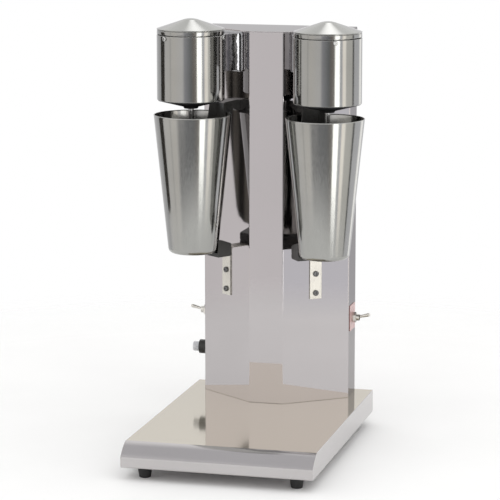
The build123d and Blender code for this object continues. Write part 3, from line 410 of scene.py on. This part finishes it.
def motor_lid(side):
    """Spun lid: upright band, straight cone and a softly rounded crown."""
    centre, spigot, top, radius = axis_of(f"{side}_motor_lid")
    band_low = spigot + LID_SPIGOT
    shoulder = (radius - LID_SHOULDER[0], band_low + LID_SHOULDER[1])
    crown = (LID_CROWN[0], top - LID_CROWN[1])
    fall = atan2(shoulder[1] - crown[1], shoulder[0] - crown[0])
    rounding = crown[0] / sin(-fall)
    profile = []
    for step in range(CROWN_STEPS + 1):
        bend = -fall * step / CROWN_STEPS
        profile.append((rounding * sin(bend), top - rounding * (1 - cos(bend))))
    drop = profile[-1][1] - crown[1]
    profile = [(r, z - max(drop, 0) * (r / crown[0]) ** 2) for r, z in profile]
    lip = band_low + LID_LIP_HEIGHT
    edge = arc((radius - LID_LIP, lip), LID_LIP, 70, -60, 8)
    profile += straight(profile[-1], edge[0]) + edge
    profile += [(radius - GROOVE_FOOT, lip - GROOVE_TOP), (radius - GROOVE_FOOT, lip - GROOVE_BOTTOM)]
    profile += [(radius - BAND_EDGE[0], lip - BAND_EDGE[1])]
    profile += arc((radius - BAND_TURN[0], band_low + BAND_TURN[1]), BAND_TURN[1], 0, -90, 3)
    inner = radius - SPIGOT_INSET
    profile += [(inner, band_low), (inner, spigot), (inner - SPIGOT_WALL, spigot)]
    profile += [(inner - SPIGOT_WALL, band_low + INSIDE_SHOULDER)]
    profile += [(LID_INSIDE[0], top - LID_INSIDE[1]), (0, top - LID_INSIDE[2])]
    return lathe(f"{side}_lid_shell", centre, profile, "root", "head_steel", [f"{side}_motor_lid"])


for side in SIDES:
    mixing_cup(side)
    motor_housing(side)
    motor_lid(side)

# ---- studio --------------------------------------------------------------------------------
FLOOR_RADIUS = 0.95
FLOOR_SOLID = 0.66                       # the floor thins out from here to its edge
FLOOR_COLOURS = ((0.89, 0.89, 0.885), (0.91, 0.91, 0.905))


def matt_material(name, scale, stretch, shades, colours):
    """Dull surface whose colour wanders between two colours."""
    material = bpy.data.materials.new(name)
    tree = Tree(material)
    shader = tree.nodes["Principled BSDF"]
    shader.inputs["Roughness"].default_value = 0.9
    shader.inputs["Specular IOR Level"].default_value = 0.1
    shade = tree.ranged(tree.noise(scale, stretch), 0, 1, *shades)
    tree.links.new(tree.blend(shade, *colours), shader.inputs["Base Color"])
    return material, tree, shader


def make_floor():
    """Round pale table top with a softly grained finish."""
    mesh = bpy.data.meshes.new("studio_floor")
    work = bmesh.new()
    bmesh.ops.create_circle(work, cap_ends=True, segments=128, radius=FLOOR_RADIUS)
    work.to_mesh(mesh)
    work.free()
    floor = bpy.data.objects.new("studio_floor", mesh)
    bpy.context.scene.collection.objects.link(floor)
    material, tree, shader = matt_material("pale_floor", 6, (1, 1, 1), (0.3, 0.7), FLOOR_COLOURS)
    away = tree.add("ShaderNodeVectorMath", {0: tree.place()}, operation="LENGTH").outputs["Value"]
    fade = tree.ranged(away, 0, 1, FLOOR_SOLID, FLOOR_RADIUS)
    clear = tree.add("ShaderNodeBsdfTransparent").outputs[0]
    ending = tree.add("ShaderNodeMixShader", {0: fade, 1: shader.outputs[0], 2: clear})
    tree.links.new(ending.outputs[0], tree.nodes["Material Output"].inputs["Surface"])
    mesh.materials.append(material)


# Brightness of the studio walls by azimuth in degrees, from the studio's front, to the right:
# (azimuth, red, green, blue).  Two tall soft boxes stand to the right of the front, a dark strip
# at the right, and a weaker soft box behind.
WALLS = (
    (-180, 0.89, 0.88, 0.89),
    (-150, 0.78, 0.78, 0.80),
    (-118, 0.70, 0.70, 0.72),
    (-105, 0.96, 0.94, 0.94),
    (-76, 0.98, 0.95, 0.92),
    (-72, 0.72, 0.70, 0.69),
    (-69, 0.98, 0.95, 0.92),
    (-60, 1.00, 0.96, 0.92),
    (-31, 0.98, 0.96, 0.96),
    (-26, 0.94, 0.92, 0.92),
    (-20, 0.54, 0.54, 0.58),
    (2, 0.28, 0.29, 0.30),
    (10, 0.32, 0.29, 0.27),
    (21, 0.46, 0.43, 0.40),
    (23, 3.2, 3.2, 3.15),
    (38, 3.2, 3.2, 3.15),
    (39.5, 0.90, 0.91, 0.95),
    (48, 0.90, 0.91, 0.95),
    (49.5, 1.85, 1.72, 1.6),
    (60, 1.85, 1.78, 1.66),
    (63, 1.0, 0.98, 0.94),
    (88, 0.96, 0.94, 0.90),
    (91, 0.16, 0.16, 0.16),
    (95, 0.16, 0.16, 0.16),
    (98, 0.92, 0.92, 0.96),
    (127, 0.90, 0.90, 0.94),
    (131, 1.7, 1.68, 1.66),
    (144, 1.7, 1.68, 1.66),
    (148, 0.82, 0.82, 0.84),
    (180, 0.89, 0.88, 0.89),
)
WALL_SCALE = 4.0                         # the colour ramp holds no more than 1, so it is scaled up
DOME = (1.08, 1.08, 1.07)
DOME_FROM = (14, 24)                     # degrees above the horizon, from walls to ceiling
ZENITH = (0.56, 0.56, 0.58)
ZENITH_FROM = (56, 68)
FRONT_GLOW = (1.42, 1.38, 1.38)          # walls above the horizon, in front and to the sides
GLOW_FROM = (2, 8)                       # degrees above the horizon
GLOW_FRONT = (-0.6, -0.3)                # cosine of the angle from the front, none to full glow
FRONT_SHADE = (0.30, 0.30, 0.31)         # darker ground far out in front, to the left
SHADE_HEIGHTS = (-20, -14)               # degrees above the horizon, dark to light
SHADE_LEFT = (-52, -42)                  # degrees to the right of the front, light to dark
SHADE_RIGHT = (2, 20)                    # and dark to light
LAMP_SPREAD = (9, 1)                     # degrees from its middle, of the lamp's soft edge
LAMP = 3.0
LAMP_TOWARDS = Vector((0.067, 0.692, 0.719))     # right, away from the front, up


def rises(degrees_up):
    return [sin(radians(edge)) for edge in degrees_up]


def turns(degrees_right):
    return [radians(edge) for edge in degrees_right]


def make_world():
    """Pale studio: walls that change with azimuth, a ceiling, and a lamp above and behind."""
    world = bpy.data.worlds.new("studio")
    bpy.context.scene.world = world
    tree = Tree(world)
    tree.nodes.clear()
    right = Vector((cos(STUDIO_AZIMUTH), sin(STUDIO_AZIMUTH), 0))
    front = Vector((sin(STUDIO_AZIMUTH), -cos(STUDIO_AZIMUTH), 0))
    towards = tree.add("ShaderNodeTexCoord").outputs["Generated"]

    def along(direction):
        node = tree.add("ShaderNodeVectorMath", {0: towards, 1: direction}, operation="DOT_PRODUCT")
        return node.outputs["Value"]

    azimuth = tree.math("ARCTAN2", along(right), along(front))
    place = tree.ranged(azimuth, 0, 1, -pi, pi)
    walls = tree.add("ShaderNodeValToRGB", {0: place})
    ramp = walls.color_ramp
    while len(ramp.elements) > 1:
        ramp.elements.remove(ramp.elements[-1])
    for index, (degrees_right, *colour) in enumerate(WALLS):
        position = (degrees_right + 180) / 360
        if index == 0:
            element = ramp.elements[0]
            element.position = position
        else:
            element = ramp.elements.new(position)
        element.color = (*[part / WALL_SCALE for part in colour], 1)
    scaled = tree.add("ShaderNodeVectorMath", {0: walls.outputs[0], 3: WALL_SCALE}, operation="SCALE")
    height = along(Vector((0, 0, 1)))
    above = tree.ranged(height, 0, 1, *rises(DOME_FROM))
    upper = tree.blend(tree.ranged(height, 0, 1, *rises(ZENITH_FROM)), DOME, ZENITH)
    glow = tree.ranged(height, 0, 1, *rises(GLOW_FROM))
    glow = tree.math("MULTIPLY", glow, tree.ranged(along(front), 0, 1, *GLOW_FRONT))
    room = tree.blend(above, tree.blend(glow, scaled.outputs[0], FRONT_GLOW), upper)
    shade = tree.ranged(height, 1, 0, *rises(SHADE_HEIGHTS))
    shade = tree.math("MULTIPLY", shade, tree.ranged(azimuth, 0, 1, *turns(SHADE_LEFT)))
    shade = tree.math("MULTIPLY", shade, tree.ranged(azimuth, 1, 0, *turns(SHADE_RIGHT)))
    room = tree.blend(shade, room, FRONT_SHADE)
    lamp_direction = right * LAMP_TOWARDS.x - front * LAMP_TOWARDS.y + Vector((0, 0, LAMP_TOWARDS.z))
    spread = [cos(radians(edge)) for edge in LAMP_SPREAD]
    lit = tree.ranged(along(lamp_direction.normalized()), 0, 1, *spread)
    lamp = tree.blend(lit, room, (LAMP, LAMP, LAMP))
    seen = tree.add("ShaderNodeBackground", {"Color": (1, 1, 1, 1), "Strength": 1.0})
    felt = tree.add("ShaderNodeBackground", {"Color": lamp, "Strength": 1.0})
    camera_ray = tree.add("ShaderNodeLightPath").outputs["Is Camera Ray"]
    mixed = tree.add("ShaderNodeMixShader", {0: camera_ray, 1: felt.outputs[0], 2: seen.outputs[0]})
    tree.add("ShaderNodeOutputWorld", {"Surface": mixed.outputs[0]})


CEILING_PLACE = (0.3, -0.4, 1.9)         # above, in front and to the right
CEILING_SIZE = 1.8
CEILING_POWER = 9.0


def ceiling_box():
    """Square light, aimed at the origin, that reflections and the view don't show."""
    light = bpy.data.lights.new("ceiling_box", "AREA")
    light.shape = "RECTANGLE"
    light.size = CEILING_SIZE
    light.size_y = CEILING_SIZE
    light.energy = CEILING_POWER
    lamp = bpy.data.objects.new("ceiling_box", light)
    lamp.location = CEILING_PLACE
    lamp.rotation_euler = (-Vector(CEILING_PLACE)).to_track_quat("-Z", "Y").to_euler()
    lamp.visible_glossy = False
    lamp.visible_camera = False
    bpy.context.scene.collection.objects.link(lamp)


FLAG_X = -0.4                            # the cloth stands upright, square to X
FLAG_OUTLINE = (
    (-0.034, 0.189), (0.048, 0.190), (0.058, 0.194), (0.065, 0.203), (0.068, 0.215),
    (0.078, 0.33), (0.088, 0.46), (-0.034, 0.46),
)                                        # (y, z) corners, a tapered shape with one rounded corner, whose reflection in the left flank is a painted reflection of the mirrored cup
FLAG_STREAKS = (0.42, 0.66)                # noise values where the sheet goes from dark to lighter streaks
# colours of that painted reflection, dark with lighter streaks
FLAG_COLOURS = ((0.012, 0.011, 0.010), (0.13, 0.12, 0.105))


def make_flag():
    """Dark sheet to the left, hidden from the view, from diffuse light and from shadows: a painted reflection
    in the column's left flank, standing in for the mirrored cup.
    """
    material = matt_material("painted_reflection_flag", 90, (1, 1, 0.03), FLAG_STREAKS, FLAG_COLOURS)[0]
    mesh = bpy.data.meshes.new("dark_flag")
    mesh.from_pydata([(FLAG_X, *point) for point in FLAG_OUTLINE], [], [range(len(FLAG_OUTLINE))])
    mesh.materials.append(material)
    flag = bpy.data.objects.new("dark_flag", mesh)
    bpy.context.scene.collection.objects.link(flag)
    # hidden from the view, diffuse light and shadows: only its painted reflection shows
    flag.visible_camera = False
    flag.visible_diffuse = False
    flag.visible_shadow = False


CAMERA_PLACE = (0.67809, -2.62107, 0.73097)      # in front, to the right and above
CAMERA_ELEVATION = radians(10.33)
CAMERA_LENS = 172.07
SENSOR_WIDTH = 36


def make_camera():
    """The view: from the front, a little to the right and above, with a long lens."""
    camera = bpy.data.cameras.new("camera")
    camera.sensor_width = SENSOR_WIDTH
    camera.lens = CAMERA_LENS
    camera.clip_start = 0.05
    camera.clip_end = 50
    holder = bpy.data.objects.new("camera", camera)
    level = cos(CAMERA_ELEVATION)
    ahead = Vector((-sin(STUDIO_AZIMUTH) * level, cos(STUDIO_AZIMUTH) * level, -sin(CAMERA_ELEVATION)))
    holder.rotation_euler = ahead.to_track_quat("-Z", "Y").to_euler()
    holder.location = CAMERA_PLACE
    bpy.context.scene.collection.objects.link(holder)
    bpy.context.scene.camera = holder


make_floor()
make_world()
ceiling_box()
make_flag()
make_camera()
bpy.context.scene.view_settings.view_transform = "Standard"
